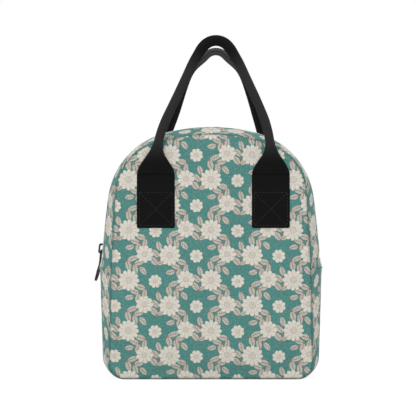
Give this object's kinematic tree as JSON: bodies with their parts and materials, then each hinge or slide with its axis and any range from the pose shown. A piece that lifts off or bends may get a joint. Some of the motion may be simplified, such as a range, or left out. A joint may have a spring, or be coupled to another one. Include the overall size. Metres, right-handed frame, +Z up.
{
  "type": "insulated lunch bag",
  "caption": "Soft insulated lunch bag with an arched top, a zip round the top and sides that lets both faces fold open, and two sewn webbing carry handles.",
  "frame": {"origin": "middle of the flat base, on the plane that the bag stands on", "axes": "+Z up, front face towards -Y, +X to the right seen from the front; the zip slider is on the -X side at rest"},
  "size_m": [0.2359, 0.1426, 0.3459],
  "materials": {
    "printed_fabric": "woven polyester with a plain flower print in cream and taupe on teal",
    "insulating_foam": "closed-cell polyethylene foam",
    "foil_lining": "wipe-clean foil film on a thin web, satin silver",
    "seam_binding": "folded woven tape",
    "webbing": "dense black polyester webbing, matt",
    "zip_tape": "knitted black tape",
    "zip_teeth": "moulded black teeth, semi-gloss",
    "slider_metal": "black enamelled zinc die casting"
  },
  "bodies": {
    "base": {"base_gusset": "printed_fabric", "base_gusset_foam": "insulating_foam", "base_gusset_lining": "foil_lining", "front_panel_lower": "printed_fabric", "front_panel_lower_foam": "insulating_foam", "front_panel_lower_lining": "foil_lining", "back_panel_lower": "printed_fabric", "back_panel_lower_foam": "insulating_foam", "back_panel_lower_lining": "foil_lining", "front_binding_lower": "seam_binding", "back_binding_lower": "seam_binding"},
    "front_flap": {"front_panel_upper": "printed_fabric", "front_panel_upper_foam": "insulating_foam", "front_panel_upper_lining": "foil_lining", "zip_gusset_front": "printed_fabric", "zip_gusset_front_foam": "insulating_foam", "zip_gusset_front_lining": "foil_lining", "zip_tape_front": "zip_tape", "zip_teeth_front": "zip_teeth", "front_binding_upper": "seam_binding", "front_patch_left": "webbing", "front_patch_right": "webbing"},
    "back_flap": {"back_panel_upper": "printed_fabric", "back_panel_upper_foam": "insulating_foam", "back_panel_upper_lining": "foil_lining", "zip_gusset_back": "printed_fabric", "zip_gusset_back_foam": "insulating_foam", "zip_gusset_back_lining": "foil_lining", "zip_tape_back": "zip_tape", "zip_teeth_back": "zip_teeth", "back_binding_upper": "seam_binding", "back_patch_left": "webbing", "back_patch_right": "webbing"},
    "front_handle_loop": {"front_handle": "webbing"},
    "back_handle_loop": {"back_handle": "webbing"},
    "slider": {"slider_body": "slider_metal"},
    "pull": {"pull_tab": "slider_metal"}
  },
  "joints": [
    {"name": "front_flap_open", "type": "hinge", "parent": "base", "child": "front_flap", "pos_m": [0, -0.0668, 0.12], "axis": [1, 0, 0], "range_deg": [0, 60]},
    {"name": "back_flap_open", "type": "hinge", "parent": "base", "child": "back_flap", "pos_m": [0, 0.0668, 0.12], "axis": [-1, 0, 0], "range_deg": [0, 60]},
    {"name": "front_handle_fold", "type": "hinge", "parent": "front_flap", "child": "front_handle_loop", "pos_m": [0, -0.0648, 0.207], "axis": [1, 0, 0], "range_deg": [0, 135]},
    {"name": "back_handle_fold", "type": "hinge", "parent": "back_flap", "child": "back_handle_loop", "pos_m": [0, 0.0648, 0.207], "axis": [-1, 0, 0], "range_deg": [0, 135]},
    {"name": "slider_travel", "type": "slide", "parent": "back_flap", "child": "slider", "axis": [0.1184, 0, 0.993], "range_m": [0, 0.04]},
    {"name": "pull_swing", "type": "hinge", "parent": "slider", "child": "pull", "pos_m": [-0.11515, 0, 0.12767], "axis": [0, 1, 0], "range_deg": [0, 105]}
  ]
}
